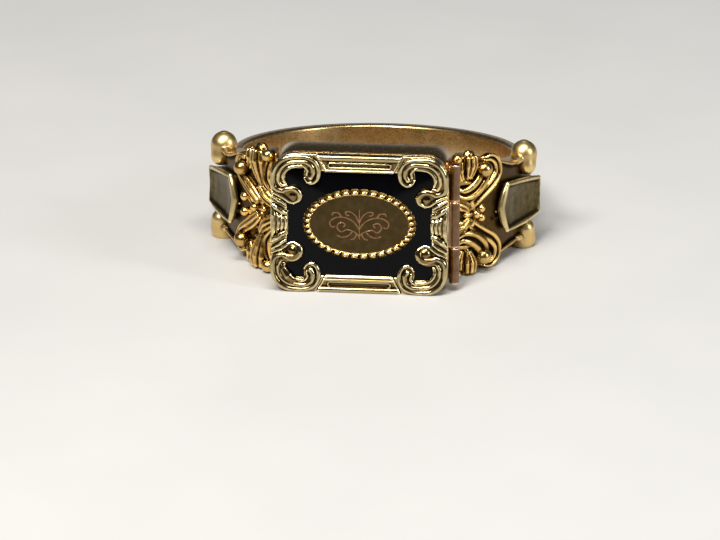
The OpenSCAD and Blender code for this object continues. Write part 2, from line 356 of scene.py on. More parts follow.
def loft(rows, closed=True):
    """A surface through rings of equal length. The last joins the first, or each end is closed with a cap."""
    rows = np.asarray(rows, float)
    count, size = rows.shape[:2]
    index = np.arange(count * size).reshape(count, size)
    after, beside = np.roll(index, -1, 0), np.roll(index, -1, 1)
    quads = np.stack([index, beside, np.roll(after, -1, 1), after], -1)
    points = rows.reshape(-1, 3)
    if closed:
        return points, quads.reshape(-1, 4)
    caps = []
    for ring, turn in ((index[0], -1), (index[-1], 1)):
        middle = len(points)
        points = np.vstack([points, points[ring].mean(0)])
        pairs = np.stack([ring, np.roll(ring, -1)], 1)[:, ::turn]
        caps.append(np.column_stack([pairs, np.full((len(ring), 2), middle)]))
    return points, np.vstack([quads[:-1].reshape(-1, 4), *caps])


# ---- Materials ----


class Nodes:
    """A short way to write a material's nodes."""

    def __init__(self, name):
        self.material = bpy.data.materials.new(name)
        self.material.use_nodes = True
        self.tree = self.material.node_tree
        self.shader = self.tree.nodes["Principled BSDF"]
        in_mm = self.tree.nodes.new("ShaderNodeVectorMath")
        in_mm.operation = "SCALE"
        in_mm.inputs["Scale"].default_value = MM
        self.tree.links.new(self.tree.nodes.new("ShaderNodeTexCoord").outputs["Object"], in_mm.inputs[0])
        self.place = in_mm.outputs[0]

    def set(self, socket, value):
        """Links an output to a socket, or gives the socket a plain value."""
        if hasattr(value, "is_output"):
            self.tree.links.new(value, socket)
        else:
            socket.default_value = value

    def noise(self, scale, detail, roughness=0.55, stretch=None):
        """Noise with scale spots to the millimetre, turned and stretched by a (rotation, scale) pair."""
        node = self.tree.nodes.new("ShaderNodeTexNoise")
        place = self.place
        if stretch:
            mapping = self.tree.nodes.new("ShaderNodeMapping")
            mapping.inputs["Rotation"].default_value = stretch[0]
            mapping.inputs["Scale"].default_value = stretch[1]
            self.tree.links.new(place, mapping.inputs["Vector"])
            place = mapping.outputs[0]
        self.tree.links.new(place, node.inputs["Vector"])
        for label, value in (("Scale", scale), ("Detail", detail), ("Roughness", roughness)):
            node.inputs[label].default_value = value
        return node.outputs["Fac"]

    def ramp(self, value, low, high, to_low=0.0, to_high=1.0):
        """Maps a value from low..high to to_low..to_high and stops at the ends."""
        node = self.tree.nodes.new("ShaderNodeMapRange")
        ends = {"From Min": low, "From Max": high, "To Min": to_low, "To Max": to_high}
        self.set(node.inputs["Value"], value)
        for label, end in ends.items():
            self.set(node.inputs[label], end)
        return node.outputs[0]

    def math(self, operation, a, b):
        node = self.tree.nodes.new("ShaderNodeMath")
        node.operation = operation
        self.set(node.inputs[0], a)
        self.set(node.inputs[1], b)
        return node.outputs[0]

    def mix(self, factor, a, b):
        node = self.tree.nodes.new("ShaderNodeMix")
        node.data_type = "RGBA"
        self.set(node.inputs["Factor"], factor)
        self.set(node.inputs["A"], a)
        self.set(node.inputs["B"], b)
        return node.outputs["Result"]

    def attribute(self, name):
        node = self.tree.nodes.new("ShaderNodeAttribute")
        node.attribute_name = name
        return node.outputs["Fac"]

    def bump(self, height, strength):
        """Relief a fiftieth of a millimetre deep."""
        node = self.tree.nodes.new("ShaderNodeBump")
        node.inputs["Strength"].default_value = strength
        node.inputs["Distance"].default_value = 0.02 / MM
        self.tree.links.new(height, node.inputs["Height"])
        self.tree.links.new(node.outputs[0], self.shader.inputs["Normal"])

    def use(self, **values):
        """Sets the shader's inputs, named with _ for a space, and gives the finished material."""
        for label, value in values.items():
            self.set(self.shader.inputs[label.replace("_", " ")], value)
        return self.material


def gold(name, base, deep, bright, rough, grain, wear, worn=None):
    """Old gold, with painted shade and grime darkening the hollows and a painted highlight on the crests. Where it
    is marked, it has the worn colour.
    """
    n = Nodes(name)
    hollow, crest = n.attribute("hollow"), n.attribute("crest")
    tarnish = n.ramp(n.noise(0.5, 2), 0.4, 0.75)
    mottle = n.ramp(n.noise(2.2, 2), 0.35, 0.7)
    scratch = n.noise(4, 2, 0.5, ((0.5, 0.3, 0.8), (1, 5, 5)))
    # Painted shade with grime: the hollows are darkened toward the deep colour.
    grime_and_shade = n.math("MULTIPLY", n.ramp(hollow, 0.03, 0.42), 0.95)
    color = n.mix(n.math("MULTIPLY", tarnish, 0.35), base, [0.86 * c for c in base[:3]] + [1])
    color = n.mix(n.math("MULTIPLY", mottle, wear), color, bright)
    # Painted highlight: the crests are brightened toward the bright colour.
    color = n.mix(n.ramp(crest, 0.25, 0.8), color, bright)
    color = n.mix(grime_and_shade, color, deep)
    if worn:
        color = n.mix(n.attribute("mark"), color, worn)
    roughness = n.math("ADD", n.ramp(mottle, 0, 1, rough, rough + 0.05), n.math("MULTIPLY", grime_and_shade, 0.3))
    roughness = n.math("ADD", roughness, n.ramp(scratch, 0.4, 0.65, 0.0, 0.06))
    n.bump(n.noise(2.5, 2), grain)
    return n.use(Base_Color=color, Roughness=roughness, Metallic=1.0)


def enamel():
    """Glossy black enamel, with a faint haze of wear and hairline scratches."""
    n = Nodes("black_enamel")
    haze = n.ramp(n.noise(1.6, 4), 0.4, 0.7, 0.05, 0.12)
    scratch = n.noise(7, 2, 0.5, ((0, 0.6, 0), (1, 10, 22)))
    roughness = n.math("ADD", haze, n.ramp(scratch, 0.62, 0.72, 0.0, 0.12))
    color = n.mix(n.ramp(n.noise(30, 1), 0.72, 0.8), (0.0015, 0.0015, 0.002, 1), (0.015, 0.014, 0.015, 1))
    n.bump(n.noise(1.2, 1), 0.12)
    return n.use(Base_Color=color, Roughness=roughness, IOR=1.5, Specular_IOR_Level=0.1)


def engraved():
    """The plaque: brushed, duller gold, with a painted coppery highlight in the engraved lines and painted shade
    with grime in its hollows.
    """
    n = Nodes("plaque_gold")
    brush = n.noise(5, 3, 0.6, ((0, 0.25, 0), (1, 1, 16)))
    mottle = n.ramp(n.noise(2.2, 4), 0.35, 0.7)
    color = n.mix(mottle, (0.078, 0.052, 0.020, 1), (0.112, 0.076, 0.031, 1))
    color = n.mix(n.math("MULTIPLY", n.ramp(brush, 0.45, 0.65), 0.35), color, (0.075, 0.046, 0.015, 1))
    # Painted highlight: the engraved lines are coloured a light copper.
    color = n.mix(n.attribute("mark"), color, (0.46, 0.24, 0.12, 1))
    # Painted shade with grime: the hollows are darkened.
    color = n.mix(n.math("MULTIPLY", n.attribute("hollow"), 0.5), color, (0.06, 0.034, 0.012, 1))
    polish = n.math("MULTIPLY", n.attribute("mark"), -0.1)
    roughness = n.math("ADD", n.ramp(brush, 0.35, 0.65, 0.30, 0.44), polish)
    n.bump(brush, 0.3)
    return n.use(Base_Color=color, Roughness=roughness, Metallic=1.0)


def crystal():
    """Clear glass with faint scratches."""
    n = Nodes("crystal")
    scratch = n.noise(5, 2, 0.5, ((0, 0.4, 0), (1, 8, 20)))
    roughness = n.ramp(scratch, 0.6, 0.75, 0.01, 0.08)
    n.bump(n.noise(0.6, 1), 0.1)
    tint = (0.98, 0.99, 0.99, 1)
    return n.use(Base_Color=tint, Roughness=roughness, IOR=1.5, Transmission_Weight=1.0, Alpha=0.25)


# Colours of the golds. DARK and the other deep colours are painted shade, with grime, laid in hollows; SHINE and
# the other bright colours are painted highlights laid on crests. Most bases are painted darker than gold is, as
# painted shade for dark surroundings, and the satin gold of the knobs is lighter, as a painted highlight.
DARK = (0.04, 0.022, 0.007, 1)
GRIME_AND_SHADE_BLACK = (0.008, 0.005, 0.002, 1)
SHINE = (0.95, 0.75, 0.40, 1)
RUBBED = (0.62, 0.43, 0.20, 1)

GOLD = gold("gold", (0.60, 0.39, 0.14, 1), DARK, SHINE, 0.18, 0.05, 0.08)
HOOP = gold("hoop_gold", RUBBED, DARK, SHINE, 0.24, 0.03, 0.04)
PALE = gold("pale_gold", (0.21, 0.13, 0.045, 1), GRIME_AND_SHADE_BLACK, (1.0, 0.87, 0.50, 1), 0.12, 0.15, 0.08)
CHASED = gold("chased_gold", (0.20, 0.10, 0.022, 1), GRIME_AND_SHADE_BLACK, (0.92, 0.62, 0.21, 1), 0.2, 0.25, 0.08)
MILLED = gold("milled_gold", (0.24, 0.13, 0.032, 1), (0.010, 0.006, 0.002, 1), (1.0, 0.73, 0.30, 1),
              0.17, 0.15, 0.1)
GROUND = gold("chased_ground", (0.07, 0.037, 0.009, 1), GRIME_AND_SHADE_BLACK, (0.70, 0.46, 0.16, 1), 0.27, 0.1, 0.05, RUBBED)
PANEL = gold("panel_gold", (0.085, 0.062, 0.02, 1), (0.03, 0.017, 0.006, 1), (0.95, 0.76, 0.38, 1),
             0.3, 0.08, 0.1)
ROSE = gold("rose_gold", (0.16, 0.088, 0.047, 1), (0.03, 0.013, 0.006, 1), (0.93, 0.63, 0.43, 1),
            0.16, 0.08, 0.1)
SATIN = gold("satin_gold", (0.70, 0.49, 0.20, 1), (0.08, 0.04, 0.015, 1), SHINE, 0.32, 0.1, 0.1)
BLACK = enamel()
PLAQUE = engraved()
CRYSTAL = crystal()

# ---- The lid's frame ----

FRAME_PITCH = 0.03
CORNER = np.array([HALF_W - CORNER_R, HALF_H - CORNER_R])
# Centres of a corner scroll's crozier and of its curl
TOP_EYE = np.array([HALF_W - 2.55, HALF_H - 1.4])
SIDE_EYE = np.array([HALF_W - 1.45, HALF_H - 2.78])
FULL_CURL = 1.3


def head_field(solid):
    """Distance to the head's rounded outline, in the plane of its face."""
    return rounded(np.abs(solid.u) - CORNER[0], np.abs(solid.v) - CORNER[1], CORNER_R)


def corner_band(inset, top, side, stray=0.0):
    """A line round a corner, inset from the head's edge, with its own points before and after the bend.

    stray moves the bend's centre towards the middle of the face."""
    bend = arc(CORNER - stray, CORNER_R - inset + 0.6 * stray, 84, 6, 7)
    return curve([*top, *bend, *side], 6)


def corner_scroll(name, x, z, bulge, leaf):
    """A C-scroll of rolled ridges: a fluted crozier at one end and a curl over a hollow at the other.

    It is drawn for the upper right corner. x and z mirror it, and bulge is how full its curl is."""
    solid = Solid((2.2, 0.75, -0.1), (HALF_W + 0.05, HALF_H + 0.05, RELIEF + 0.05), FRAME_PITCH)
    (tu, tv), (su, sv) = TOP_EYE, SIDE_EYE
    outer = corner_band(0.17, [
        (tu + 0.4, tv - 0.12), (tu + 0.2, tv - 0.38), (tu - 0.12, tv - 0.42), (tu - 0.42, tv - 0.14),
        (tu - 0.5, tv + 0.36), (tu - 0.3, tv + 0.88), (tu + 0.1, HALF_H - 0.26), (tu + 0.6, HALF_H - 0.17),
    ], [
        (HALF_W - 0.17, sv + 0.95), (HALF_W - 0.32, sv + 0.58), (su + 0.72, sv + 0.4), (su + 0.36, sv + 0.52),
        (su - 0.06, sv + 0.54), (su - 0.38, sv + 0.26), (su - 0.38, sv - 0.12), (su - 0.12, sv - 0.34),
    ])
    second = corner_band(0.5, [
        (tu, tv - 0.06), (tu - 0.14, tv + 0.24), (tu - 0.06, tv + 0.66), (tu + 0.28, tv + 0.9),
        (tu + 0.6, tv + 0.93),
    ], [(HALF_W - 0.5, sv + 1.1), (su + 0.75, sv + 0.75), (su + 0.48, sv + 0.76)])
    third = corner_band(0.79, [
        (tu + 0.24, tv + 0.1), (tu + 0.22, tv + 0.42), (tu + 0.5, tv + 0.66),
    ], [(su + 0.64, sv + 1.22), (su + 0.56, sv + 0.98)], 0.04)
    under = curve([
        (tu, tv - 0.05), (tu + 0.02, tv + 0.9), *arc(CORNER, 1.05, 80, 10, 5),
        (su + 0.95, sv + 0.7), (su + 0.55, sv + 0.2), (su + 0.1, sv + 0.1),
    ], 6)
    base = solid.shadow(under, [0.44, 0.5, 0.5, 0.46, 0.5, 0.52, 0.42])
    for along, across, half, reach, near, beyond in (
        (solid.u, solid.v, LONG_OUT, HALF_H, tv + 0.34, solid.u - tu),
        (solid.v, solid.u, SHORT_OUT, HALF_W, su + 0.42, solid.v - sv),
    ):
        out = half - BAR_SLANT * (reach - across) / BAR_W + 0.03
        base = np.minimum(base, np.maximum(np.maximum(out - along, near - across), beyond))
    solid.add(np.maximum(base, solid.w - 0.225), 0)
    solid.add(solid.ball((tu, tv, 0.04), 0.46, 0.75), 0.04)
    crozier, band = [0.07, 0.12, 0.15, 0.15, 0.14], [0.17, 0.19, 0.18, 0.18, 0.17, 0.17]
    thick = [*crozier, *band, 0.2 * bulge, 0.19 * bulge, 0.09]
    solid.add(solid.strand(outer, thick, [0.26, 0.3, 0.36, 0.38, 0.38, 0.38, 0.36, 0.36, 0.28]), 0.015)
    thick = [0.17, 0.16, 0.14, 0.13, 0.14, 0.14, 0.13, 0.08]
    solid.add(solid.strand(second, thick, [0.36, 0.4, 0.38, 0.36, 0.34]), 0.015)
    solid.add(solid.strand(third, [0.1, 0.12, 0.12, 0.14, 0.14, 0.13, 0.1], 0.31), 0.015)
    solid.add(solid.ball((su + 0.05, sv + 0.02, 0.05), 0.34 * bulge, 0.65), 0.03)
    lower = curve([(HALF_W - 0.12, sv + 0.28), (su + 0.7, sv - 0.02), (su + 0.3, sv - 0.3),
                   (su - 0.05, sv - 0.42)], 6)
    solid.add(solid.strand(lower, [0.09, 0.13, 0.1, 0.06], 0.26), 0.02)
    tail = curve([(HALF_W - 0.1, sv + 0.02), (su + 0.85, sv - 0.28), (su + 0.5, sv - 0.52)], 6)
    solid.add(solid.strand(tail, [0.08, 0.14, 0.09], 0.26), 0.02)
    if bulge > FULL_CURL:
        crown = curve([(su + 0.85, sv + 0.52), (su + 0.3, sv + 0.62), (su - 0.2, sv + 0.46),
                       (su - 0.34, sv + 0.02)], 6)
        solid.add(solid.strand(crown, [0.12, 0.3, 0.33, 0.16], 0.26), 0.04)
        solid.add(solid.ball((su - 0.02, sv + 0.16, 0.1), 0.46, 0.9), 0.05)
    if leaf:
        path = curve([(su + 0.7, sv + 0.93), (su + 0.65, sv + 1.33), (su + 0.35, sv + 1.78), (su, sv + 2.08),
                      (su - 0.32, sv + 2.3)], 6)
        solid.add(solid.strand(path, [0.06, 0.24, 0.33, 0.25, 0.06], 0.25), 0.02)
    solid.within(head_field(solid))
    solid.within(solid.w - (RELIEF - 0.01))
    solid.within(-solid.w)
    points, quads = skin(solid)
    points = points * (x, z, 1)
    make("scroll_" + name, face_to_ring(points), quads, "lid", ["corner_scroll_" + name], PALE)


corner_scroll("upper_left", -1, 1, 1.0, False)
corner_scroll("upper_right", 1, 1, 1.1, False)
corner_scroll("lower_left", -1, -1, 1.4, True)
corner_scroll("lower_right", 1, -1, 1.32, False)


def bar_solid(half_out, half_in, floor_level):
    """The sunk panel of a bar: a trapezium with its long side on the head's edge, v outwards."""
    solid = Solid((-half_out - 0.05, -0.05, -0.1), (half_out + 0.05, BAR_W + 0.05, RELIEF), FRAME_PITCH)
    slope = math.hypot(half_out - half_in, BAR_W)
    ends = (np.abs(solid.u) * BAR_W - solid.v * (half_out - half_in) - half_in * BAR_W) / slope
    outline = np.maximum(np.maximum(ends, solid.v - BAR_W), -solid.v)
    solid.add(np.maximum(outline, solid.w - floor_level), 0)
    return solid, outline


def bar_piece(name, solid, outline, place):
    """Trims a bar to its outline and makes the piece. place turns its (u, v) to those of the face."""
    solid.within(outline)
    solid.within(-solid.w)
    points, quads = skin(solid)
    points[:, 0], points[:, 1] = place(points[:, 0].copy(), points[:, 1].copy())
    make("frame_" + name, face_to_ring(points), quads, "lid", [name], PALE)


def long_bar(name, z, pill_at, lips):
    """A broad outer roll, a thin round-ended outline in the sunk panel, and one or two lips at the enamel."""
    half_out, half_in = LONG_OUT, LONG_OUT - BAR_SLANT
    solid, outline = bar_solid(half_out, half_in, 0.215)
    solid.add(solid.strand([(-half_out, BAR_W - 0.19), (half_out, BAR_W - 0.19)], 0.2, 0.27), 0.01)
    for at in lips:
        reach = half_in + (half_out - half_in) * at / BAR_W - 0.06
        solid.add(solid.strand([(-reach, at), (reach, at)], 0.085, 0.33), 0.01)
    half = half_in - 0.32
    loop = np.vstack([arc((half, pill_at), 0.15, -90, 90, 8), arc((-half, pill_at), 0.15, 90, 270, 8)])
    solid.add(solid.strand(np.vstack([loop, loop[:1]]), 0.05, 0.25), 0.01)
    for side in (-1, 1):
        path = [(side * (half_in - 0.04), 0.08), (side * (half_out - 0.1), BAR_W - 0.15)]
        solid.add(solid.strand(path, 0.07, 0.31), 0.01)
    bar_piece(name, solid, outline, lambda u, v: (u, z * (HALF_H - BAR_W + v)))


def short_bar(name, x):
    """A waisted spool of four strands between two leaves that spread towards the head's edge."""
    solid, outline = bar_solid(SHORT_OUT, SHORT_OUT - BAR_SLANT, 0.22)
    for end, waist, at, thick in ((0.9, 0.5, 0.9, 0.15), (0.62, 0.36, 0.63, 0.13), (0.52, 0.3, 0.37, 0.12),
                                  (0.56, 0.3, 0.12, 0.11)):
        path = curve([(-end, at + 0.05), (-waist, at), (0, at - 0.04), (waist, at), (end, at + 0.05)], 6)
        radius = [0.6 * thick, thick, thick, thick, 0.6 * thick]
        solid.add(solid.strand(path, radius, [0.26, 0.34, 0.36, 0.34, 0.26]), 0.015)
    for side in (-1, 1):
        path = curve([(side * (SHORT_OUT - 0.1), BAR_W - 0.13), (side * 1.0, 0.72), (side * 0.72, 0.34),
                      (side * 0.6, 0.1)], 6)
        solid.add(solid.strand(path, [0.1, 0.18, 0.16, 0.09], [0.32, 0.38, 0.36, 0.3]), 0.02)
    bar_piece(name, solid, outline, lambda u, v: (x * (HALF_W - BAR_W + v), u))


long_bar("long_bar_upper", 1, 0.43, [0.09])
long_bar("long_bar_lower", -1, 0.57, [0.08, 0.27])
short_bar("short_bar_right", 1)
short_bar("short_bar_left", -1)

# ---- Enamel, plaque and its border ----


def rounded_loop(inset):
    """Points round the head's outline, moved inwards."""
    radius = max(CORNER_R - inset, 0.02)
    parts = []
    for x, z, start in ((1, 1, 0), (-1, 1, 90), (-1, -1, 180), (1, -1, 270)):
        parts.append(arc(CORNER * (x, z), radius, start, start + 90, 12))
    return np.vstack(parts)


def slab(name, layers, nodes, material):
    """A plate with the head's outline, through layers of (inset, distance from the ring's axis)."""
    rows = []
    for inset, level in layers:
        loop = rounded_loop(inset)
        rows.append(np.column_stack([loop[:, 0], np.full(len(loop), -level), loop[:, 1]]))
    points, quads = loft(rows, closed=False)
    make(name, points, quads, "lid", nodes, material, cavity=False)


ENAMEL_TOP = PLATE_TOP + ENAMEL_UP
ENAMEL_LAYERS = [(0.35, PLATE_TOP - 0.02), (0.3, ENAMEL_TOP - 0.05), (0.33, ENAMEL_TOP - 0.01),
                 (0.38, ENAMEL_TOP)]
COVER_LAYERS = [(0.1, PLATE_UNDER), (0.02, PLATE_UNDER + 0.02), (0, PLATE_UNDER + 0.08),
                (0, PLATE_TOP - 0.05), (0.03, PLATE_TOP)]
slab("lid_enamel", ENAMEL_LAYERS, ["enamel_field"], BLACK)
slab("lid_cover", COVER_LAYERS, ["lid_plate"], GOLD)


def plaque_border():
    """A ring of rounded lobes, highest near the plaque and sloping down to the enamel."""
    lobes, steps, across = 36, 18, 18
    rows = []
    for i in range(lobes * steps):
        angle = 2 * math.pi * i / (lobes * steps)
        swell = 0.25 + 0.75 * abs(math.sin(lobes * angle / 2)) ** 0.7
        ring = []
        for t in np.linspace(0, 1, across):
            half = BORDER_HALF + (PLAQUE_HALF - BORDER_HALF) * t
            slope = 0.08 + 0.12 * t
            dome = math.sin(math.pi * t**1.35) ** 0.7
            height = slope + (BORDER_UP - 0.19) * dome * swell
            ring.append((half[0] * math.cos(angle), half[1] * math.sin(angle), height))
        inner, outer = ring[-1], ring[0]
        ring.append((inner[0], inner[1], 0.0))
        ring.append((outer[0], outer[1], 0.0))
        rows.append(ring)
    points, quads = loft(rows)
    make("milled_border", face_to_ring(points), quads, "lid", ["plaque_border"], MILLED)


plaque_border()


def flourish():
    """Lines of a made-up symmetrical flourish, as (path, widths) pairs: a sprig with leafy scrolls."""
    half = [
        ([(0, -0.75), (0.3, -0.5), (0.75, -0.35), (1.15, -0.5), (1.4, -0.2), (1.2, 0.1), (0.9, 0),
          (1.0, -0.2)], 0.03),
        ([(0, -0.3), (0.35, 0.15), (0.9, 0.42), (1.5, 0.4), (1.85, 0.1), (1.75, -0.2), (1.5, -0.15)], 0.028),
        ([(0, 0.1), (0.2, 0.5), (0.55, 0.8), (0.85, 0.78), (0.8, 0.58), (0.62, 0.6)], 0.026),
        ([(0.4, -0.45), (0.7, -0.75), (1.1, -0.85), (1.4, -0.72)], 0.022),
        ([(1.1, 0.44), (1.3, 0.7), (1.6, 0.72), (1.72, 0.56)], 0.02),
        ([(0.15, -0.62), (0.3, -0.9), (0.55, -1.0)], 0.02),
    ]
    lines = []
    for path, width in half:
        for side in (-1, 1):
            lines.append((curve(np.array(path) * (side, 1)), [0.01, width, 0.5 * width, width, 0.01]))
    lines.append((np.array([(0, -0.95), (0, 0.95)]), [0.01, 0.026, 0.026, 0.01]))
    return lines


def plaque():
    """The oval plaque, with the flourish cut into it and marked along its lines."""
    half = PLAQUE_HALF + 0.04
    room = half + 0.05
    solid = Solid((-room[0], -room[1], -0.06), (room[0], room[1], PLAQUE_UP + 0.05), 0.021)
    scaled = np.sqrt((solid.u / half[0]) ** 2 + (solid.v / half[1]) ** 2)
    solid.add(np.maximum((scaled - 1) * half[1], solid.w - (PLAQUE_UP - 0.01)), 0)
    marks = np.full(solid.field.shape[:2], 9.0)
    for path, width in flourish():
        solid.cut(solid.strand(path, width, PLAQUE_UP), 0.01)
        marks = np.minimum(marks, solid.shadow(path, width)[:, :, 0])
    solid.within(-solid.w)
    points, quads = skin(solid)
    last = np.array(marks.shape) - 1
    at = np.clip(((points[:, :2] - solid.low[:2]) / solid.pitch).round().astype(int), 0, last)
    # mark tells where the engraved lines take their painted coppery highlight.
    mark = np.clip(1 - marks[at[:, 0], at[:, 1]] / 0.02, 0, 1)
    make("engraved_plaque", face_to_ring(points), quads, "lid", ["plaque"], PLAQUE, marks=mark)


plaque()

# ---- Case and hinge ----


def wall(name, thick, low, high, edge, body, node, to_finger=False):
    """A wall round the head with rounded edges. Its low edge may follow the finger hole's surface."""
    corners = [(edge, low + edge, 270), (edge, high - edge, 180),
               (thick - edge, high - edge, 90), (thick - edge, low + edge, 0)]
    profile = []
    for inset, level, start in corners:
        for angle in np.radians(np.linspace(start, start - 90, 4)):
            profile.append((inset + edge * math.cos(angle), level + edge * math.sin(angle)))
    rows = []
    for inset, level in profile:
        loop = rounded_loop(inset)
        y = np.full(len(loop), -level)
        if to_finger and level <= low + edge + 1e-6:
            y = -(np.sqrt(FINGER_R**2 - loop[:, 0] ** 2) + level - low)
        rows.append(np.column_stack([loop[:, 0], y, loop[:, 1]]))
    points, quads = loft(np.array(rows).transpose(1, 0, 2))
    make(name, points, quads, body, [node], GOLD, cavity=False)


wall("lid_side", WALL_T - 0.04, SEAM, PLATE_UNDER, 0.07, "lid", "lid_rim")
wall("case_side", WALL_T, 0.0, SEAM, 0.09, "ring", "case_wall", to_finger=True)


def knuckle(name, v0, v1, out, bore_r, body, node):
    """A tube round the hinge pin with softened ends, on a web that reaches the head's side wall."""
    edge, room = 0.04, 0.08
    pin_w = SEAM - PLATE_TOP
    low = (HALF_W - 0.05, v0 - room, pin_w - KNUCKLE_R - room)
    high = (PIN[0] + KNUCKLE_R + room, v1 + room, pin_w + KNUCKLE_R + room)
    solid = Solid(low, high, 0.026)
    ends = np.maximum(v0 - solid.v, solid.v - v1) + edge
    around = np.hypot(solid.u - PIN[0], solid.w - pin_w)
    solid.add(rounded(around - KNUCKLE_R + edge, ends, edge), 0)
    reach = out * (solid.w - pin_w)
    across = np.maximum(HALF_W - solid.u, solid.u - PIN[0])
    web = np.maximum(across, np.maximum(0.06 - reach, reach - KNUCKLE_R + 0.03))
    solid.add(np.maximum(web, ends - edge + 0.02), 0.04)
    solid.cut(around - bore_r, 0.01)
    points, quads = skin(solid)
    make(name, face_to_ring(points), quads, body, [node], ROSE)


CASE_KNUCKLE = box_mm("case_knuckle_upper")
PIN_R = box_mm("hinge_pin")[1][0] - PIN[0]
knuckle("knuckle_middle", -KNUCKLE_HALF, KNUCKLE_HALF, 1, PIN_R + 0.02, "lid", "lid_knuckle")
knuckle("knuckle_top", CASE_KNUCKLE[0][2], CASE_KNUCKLE[1][2], -1, PIN_R, "ring", "case_knuckle_upper")
knuckle("knuckle_bottom", -CASE_KNUCKLE[1][2], -CASE_KNUCKLE[0][2], -1, PIN_R, "ring", "case_knuckle_lower")

# ---- Hoop ----

HOOP_FROM = 84.0
HOOP_NARROWS = 0.55
CROWN_R = 3.2


def hoop():
    """A smooth band with a crowned outside, thinner and narrower towards the back."""
    edge, turns = 0.16, (0.5, 1.0, 1.57)
    start = -SHOULDER_R * math.cos(math.radians(HOOP_FROM))
    full = 1 + math.cos(math.radians(HOOP_FROM))
    rows = []
    for angle in np.radians(np.linspace(HOOP_FROM, 360 - HOOP_FROM, 97)):
        outer = HOOP_BACK + (SHOULDER_R + 0.01 - HOOP_BACK) * (1 + math.cos(angle)) / full
        y = -outer * math.cos(angle)
        half = HOOP_HALF - HOOP_NARROWS * (y - start) / (HOOP_BACK - start)
        upper = [(FINGER_R + edge * (1 - math.cos(t)), half - edge * (1 - math.sin(t))) for t in turns]
        crown = [(outer - (CROWN_R - math.sqrt(CROWN_R**2 - z**2)), z) for z in np.linspace(half, -half, 15)]
        lower = [(r, -z) for r, z in reversed(upper)]
        section = [(FINGER_R, -half + edge), (FINGER_R, half - edge), *upper, *crown, *lower]
        rows.append([(r * math.sin(angle), -r * math.cos(angle), z) for r, z in section])
    points, quads = loft(rows, closed=False)
    make("band", points, quads, "ring", ["hoop"], HOOP, cavity=False)


hoop()

# ---- Shoulders ----

SHEET_PITCH = 0.05
PLATE = SHOULDER_R
LAST = SHOULDER_R * math.radians(HOOP_FROM)
# The plate's half width at places round the ring
EDGE = [(5.0, 3.8), (7.4, 3.7), (8.7, 3.45), (9.8, 3.0), (11.3, 2.7), (13.0, 2.45), (15.0, 2.18)]


def sheet(low, high, top):
    """An empty solid over a shoulder: u runs round the ring from the head's middle, v along the finger."""
    return Solid((low[0], low[1], FINGER_R - 0.15), (high[0], high[1], PLATE + top), SHEET_PITCH)


def shoulder_piece(name, side, solid, node, material, worn_under=0.0, z=1):
    """Cuts a shoulder's solid off at the head's side wall and makes the piece, mirrored where z is -1.

    What lies closer to the ring's axis than worn_under is marked as worn."""
    solid.within(HALF_W - 0.03 - solid.w * np.sin(solid.u / SHOULDER_R))
    points, quads = skin(solid, 2)
    label = "left" if side < 0 else "right"
    marks = np.clip((worn_under - points[:, 2]) / 0.3, 0, 1)
    points = sheet_to_ring(points * (1, z, 1), side)
    make(name + "_" + label, points, quads, "ring", [node + label], material, marks)


def shoulder_plate(side):
    """The plate under the ornament, with low leaves chased into it."""
    solid = sheet((5.2, -4.1), (LAST + 0.1, 4.1), 0.6)
    half, edge = solid.along(curve(EDGE)), 0.12
    top = solid.w - PLATE + edge + 0.1 * np.clip(np.abs(solid.v) / half, 0, 1) ** 2
    rim = rounded(np.abs(solid.v) - half + edge, top, edge)
    solid.add(np.maximum(rim, FINGER_R - solid.w), 0)
    for z in (-1, 1):
        for path, thick in (
            ([(6.2, 1.1), (7.0, 1.35), (7.9, 1.2)], 0.2), ([(6.1, 2.0), (6.9, 2.1), (7.7, 1.9)], 0.2),
            ([(9.9, 3.0), (11.2, 2.62), (12.9, 2.45)], 0.16), ([(6.0, 0.35), (6.6, 0.42)], 0.18),
        ):
            line = curve(path, 6) * (1, z)
            solid.add(solid.strand(line, [0.4 * thick, thick, 0.6 * thick], PLATE - 0.02), 0.05)
    solid.within(solid.u - LAST)
    shoulder_piece("shoulder_plate", side, solid, "shoulder_", GROUND, PLATE - 0.1)


def fluted(solid, path, half, rise, flutes):
    """A leaf of ridges side by side along a path, with hollows between them."""
    line = curve(path, 8)
    half = spread(half, len(line))
    level = PLATE + spread(rise, len(line))
    along = np.gradient(line, axis=0)
    across = np.stack([-along[:, 1], along[:, 0]], 1) / np.linalg.norm(along, axis=1)[:, None]
    solid.add(solid.strand(line, 0.95 * half, level - 0.12, 0.6), 0.02)
    for at in np.linspace(-0.68, 0.68, flutes):
        ridge = line + across * (at * half)[:, None]
        solid.add(solid.strand(ridge, half * 1.02 / flutes, level + 0.45 * (1 - at * at) * half), 0.01)


